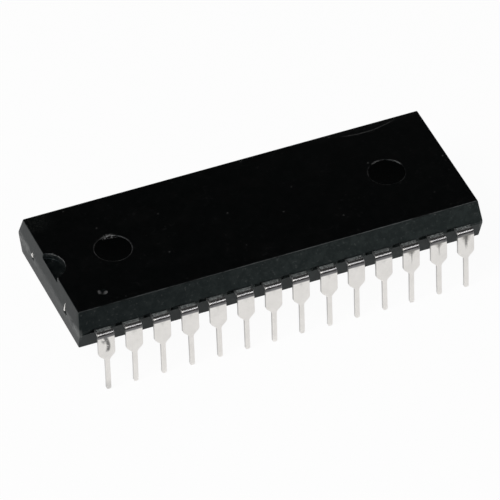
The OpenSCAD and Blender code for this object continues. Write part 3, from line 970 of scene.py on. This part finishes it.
def tinFinish():
    finish = Finish("tinnedSheet")
    graph = finish.graph
    place = finish.place
    x, y, z = graph.parts(place)
    run = finish.attribute("leadRun")
    across = finish.attribute("leadAcross")
    edge = finish.attribute("leadEdge")
    number = finish.attribute("leadNumber")
    firstLead = x.below(-15.5, -15.4) * y.below(-1, 0)
    lastLeads = x.above(10.2, 10.3) * y.below(-1, 0)
    endLead = x.above(15.3, 15.4) * y.below(-1, 0)
    soft = graph.cloud(place, 0.9, 3, 0.6)
    mottled = graph.cloud(place, 3.5, 3, 0.65)
    fine = graph.cloud(place, 9, 3, 0.6)
    bendEnd = leadForm["ledge"] + bendLength

    # near-white solder, faintly mottled
    colour = graph.blend(soft.above(0.35, 0.7), tinShades["solder"], tinShades["solderDull"])
    colour = graph.blend(mottled.above(0.55, 0.75) * 0.18, colour, tinShades["mottle"])

    # the ledge and the start of the bend: painted darker as a dark reflection, with flux mottling
    onBurr = abs(x).above(halfLength - 0.6, halfLength - 0.5)
    ledge = run.below(leadForm["ledge"] - 0.02, leadForm["ledge"] + 0.22) * (1 - onBurr)
    residueAndDarkReflection = ledge * (mottled.above(0.3, 0.6) * 0.6 + 0.4)
    colour = graph.blend(residueAndDarkReflection * 0.85, colour, tinShades["residueAndDarkReflection"])
    # painted shade along the back of the ledge, where it meets the body, and along its sides
    outline = run.below(0.0, 0.07) + (abs(across) + run * 0.3).above(0.66, 0.74) * ledge * 0.7
    colour = graph.blend((outline * (1 - onBurr)).clamped(0, 0.8), colour, tinShades["outline"])
    crust = fine.above(0.46, 0.6) * run.below(0.28, 0.4) * (1 - onBurr) * (1 - outline.clamped(0, 1))
    colour = graph.blend(crust * 0.8, colour, tinShades["crust"])
    # a painted band of dark reflection across the bend
    bendDarkReflection = run.above(0.34, 0.4) * run.below(0.45, 0.49) * (1 - onBurr)
    colour = graph.blend(bendDarkReflection * (mottled * 0.5 + 0.3), colour, tinShades["bendDarkReflection"])
    # a painted reflection band in the middle of the bend, greyer than the solder
    shine = run.above(0.44, 0.5) * run.below(0.6, 0.66) * across.below(0.45, 0.62)
    colour = graph.blend(shine * (soft * 0.6 + 0.25), colour, tinShades["shine"])
    # painted shade from the lower part of the bend to the start of the leg
    underBendShade = run.above(0.6, 0.65) * run.below(bendEnd - 0.02, bendEnd + 0.1)
    colour = graph.blend(underBendShade * (mottled * 0.3 + 0.7), colour, tinShades["underBendShade"])

    # grey shade below the bend, drawn down to a point in the middle of each lead
    point = across * 1.3
    shade = (run + abs(point)).below(bendEnd + 0.05, bendEnd + 0.75) * run.above(bendEnd - 0.25, bendEnd)
    shade = shade * (mottled.above(0.35, 0.6) * 0.6 + 0.4)
    colour = graph.blend(shade * (lastLeads * 0.45 + 0.3), colour, tinShades["shade"])

    # painted shade: a tapering patch and a fine line down the last leads of the front row
    down = (run - bendEnd) * (1 - endLead * 0.5)
    wedgeShade = (abs(across) * 1.1 + down).below(0.12, 0.75) * run.above(bendEnd - 0.1, bendEnd) * lastLeads
    wedgeShade = wedgeShade * (mottled.above(0.3, 0.55) * 0.5 + 0.35 + endLead * 0.15)
    colour = graph.blend(wedgeShade, colour, tinShades["wedgeShade"])
    creaseShade = (across + 0.02 + (mottled - 0.5) * 0.16) * (1 - endLead * 0.45)
    creaseShade = graph.nearLine(creaseShade, 0.09) * run.below(1.5, 2.4) * fine.above(0.3, 0.5)
    creaseShade = creaseShade * run.above(bendEnd - 0.1, bendEnd + 0.1) * lastLeads
    colour = graph.blend(creaseShade * (endLead * 0.25 + 0.5), colour, tinShades["creaseShade"])

    # a dark curl on the first lead
    curl = graph.nearLine(across + 0.16 - (run - 1.75) ** 2.0 * 0.35, 0.24)
    curl = curl * run.above(0.8, 1.0) * run.below(2.15, 2.45) * firstLead
    colour = graph.blend(curl * mottled.above(0.25, 0.5) * 0.85, colour, tinShades["curl"])
    smudge = graph.patch(across, (run - 1.0) * 0.7, 0.15, 0.0, 0.42) * firstLead * mottled.above(0.3, 0.6)
    colour = graph.blend(smudge * 0.8, colour, tinShades["smudge"])
    tip = run.above(5.2, 6.0) * firstLead
    colour = graph.blend(tip * 0.35, colour, tinShades["tip"])

    # the punched sides are duller, and painted darker as shade
    punched = edge.above(0.96, 0.995)
    colour = graph.blend(punched * 0.35, colour, tinShades["punched"])
    rough = soft * 0.1 + fine * 0.04 + 0.17 + residueAndDarkReflection * mottled * 0.16 + punched * 0.15
    finish.set(Base_Color=colour, Roughness=rough.clamped(0.1, 0.8),
               Metallic=1 - residueAndDarkReflection * 0.08 - crust * 0.5)
    flow = graph.cloud(graph.vector(across * 1.2, run * 0.8, number * 3.7), 1.0, 2, 0.5)
    finish.bump(flow, 0.012, 0.5)
    finish.bump(fine, 0.001, 0.6)
    return finish.material


def sheetFinish():
    finish = Finish("bareFrameSheet", Metallic=1.0)
    graph = finish.graph
    brushed = graph.cloud(graph.along("MULTIPLY", finish.place, (1.5, 14, 14)), 1.0, 3, 0.6)
    colour = graph.blend(brushed, grey(0.36, blue=-0.03), grey(0.48, blue=-0.05))
    finish.set(Base_Color=colour, Roughness=brushed * 0.2 + 0.3)
    finish.bump(brushed, 0.004, 0.5)
    return finish.material


def innerFinish(name, first, second, metallic, roughness, scale):
    # the pieces that are sealed in the body
    finish = Finish(name, Metallic=metallic)
    graph = finish.graph
    mottled = graph.cloud(finish.place, scale, 3, 0.6)
    finish.set(Base_Color=graph.blend(mottled, first, second), Roughness=mottled * 0.2 + roughness)
    finish.bump(mottled, 0.002, 0.5)
    return finish.material


def repaint(node, finish):
    slots = frame["nodes"][node].data.materials
    slots.clear()
    slots.append(finish)


# Floor, world and lamps

studio = {
    "floorSize": 3.0,
    "seenWhite": 0.96,       # share of plain white in what the camera sees of the floor
    "mirroredWhite": 0.52,    # and in what glossy surfaces see of it
    "horizon": 0.45,
    "ceiling": 0.035,
    "ceilingFrom": 0.26,     # height at which the world has darkened, as a share of the way up
}
softboxes = {
    # azimuth and elevation in degrees, distance, width and height in metres, power
    "keySoftbox": (-70, 50, 0.6, 0.3, 0.3, 2.35),
    "stripSoftbox": (20, 43, 0.6, 0.7, 0.1, 0.45),
}


def floorFinish():
    material = bpy.data.materials.new("paperFloor")
    material.use_nodes = True
    graph = Graph(material.node_tree)
    graph.tree.nodes.clear()
    seen = graph.node("ShaderNodeLightPath").socket.node.outputs
    mirrored = Field(graph, seen["Is Glossy Ray"]) + Field(graph, seen["Is Transmission Ray"])
    shown = mirrored.math("MINIMUM", 1) * studio["mirroredWhite"]
    shown = shown.math("MAXIMUM", Field(graph, seen["Is Camera Ray"]) * studio["seenWhite"])
    place = graph.node("ShaderNodeTexCoord", output="Object")
    fibre = graph.cloud(graph.scaled(place, 1 / mm), 1.5, 3, 0.6)
    white = graph.blend(fibre, grey(0.9), grey(0.94))
    matt = graph.node("ShaderNodeBsdfDiffuse", inputs={"Color": white})
    glow = graph.node("ShaderNodeEmission", inputs={"Color": grey(1.0)})
    mixed = graph.node("ShaderNodeMixShader", inputs={0: shown, 1: matt, 2: glow})
    graph.node("ShaderNodeOutputMaterial", inputs={"Surface": mixed})
    return material


def makeFloor():
    mesh = bmesh.new()
    bmesh.ops.create_grid(mesh, x_segments=1, y_segments=1, size=studio["floorSize"] / 2 / mm)
    floor = storedPiece("paperFloor", mesh, [floorFinish()])


def makeWorld():
    world = bpy.data.worlds.new("studio")
    world.use_nodes = True
    scene.world = world
    graph = Graph(world.node_tree)
    heading = graph.node("ShaderNodeTexCoord", output="Generated")
    height = graph.parts(heading)[2]
    level = height.below(0.0, studio["ceilingFrom"])
    level = level * (studio["horizon"] - studio["ceiling"]) + studio["ceiling"]
    graph.feed(graph.tree.nodes["Background"].inputs["Color"], graph.vector(level, level, level))


def addSoftbox(name, azimuth, elevation, distance, width, height, power):
    light = bpy.data.lights.new(name, "AREA")
    light.shape = "RECTANGLE"
    light.size = width
    light.size_y = height
    light.energy = power
    holder = bpy.data.objects.new(name, light)
    azimuth = radians(azimuth)
    elevation = radians(elevation)
    away = Vector((sin(azimuth) * cos(elevation), -cos(azimuth) * cos(elevation), sin(elevation)))
    holder.location = away * distance
    holder.rotation_euler = away.to_track_quat("Z", "Y").to_euler()
    scene.collection.objects.link(holder)


makeFloor()
makeWorld()
for name, numbers in softboxes.items():
    addSoftbox(name, *numbers)
print("studio ready")

tin = tinFinish()
bareSheet = sheetFinish()
makeBody(caseFinish())
rowTree, rowInputs = leadRowTree(tin)
frontNodes = ["lead_%02d" % n for n in range(1, 15)]
backNodes = ["lead_%02d" % n for n in range(15, 29)]
makeLeads("frontLeads", -1, frontNodes, rowTree, rowInputs, [tin, bareSheet])
makeLeads("backLeads", 1, backNodes, rowTree, rowInputs, [tin, bareSheet])
makePaddle(bareSheet, tin)
repaint("die_attach", innerFinish("silverAttach", grey(0.5), grey(0.62, blue=-0.04), 0.6, 0.5, 6))
repaint("silicon_die", innerFinish("silicon", grey(0.1, blue=0.05), grey(0.16, blue=0.08), 0.3, 0.15, 3))
goldWire = innerFinish("goldWire", (0.85, 0.58, 0.18, 1), (0.9, 0.66, 0.26, 1), 1.0, 0.2, 20)
for name in frame["nodes"]:
    if name.startswith("bond_wire"):
        repaint(name, goldWire)
print("finishes set")

scene.view_settings.view_transform = "Standard"
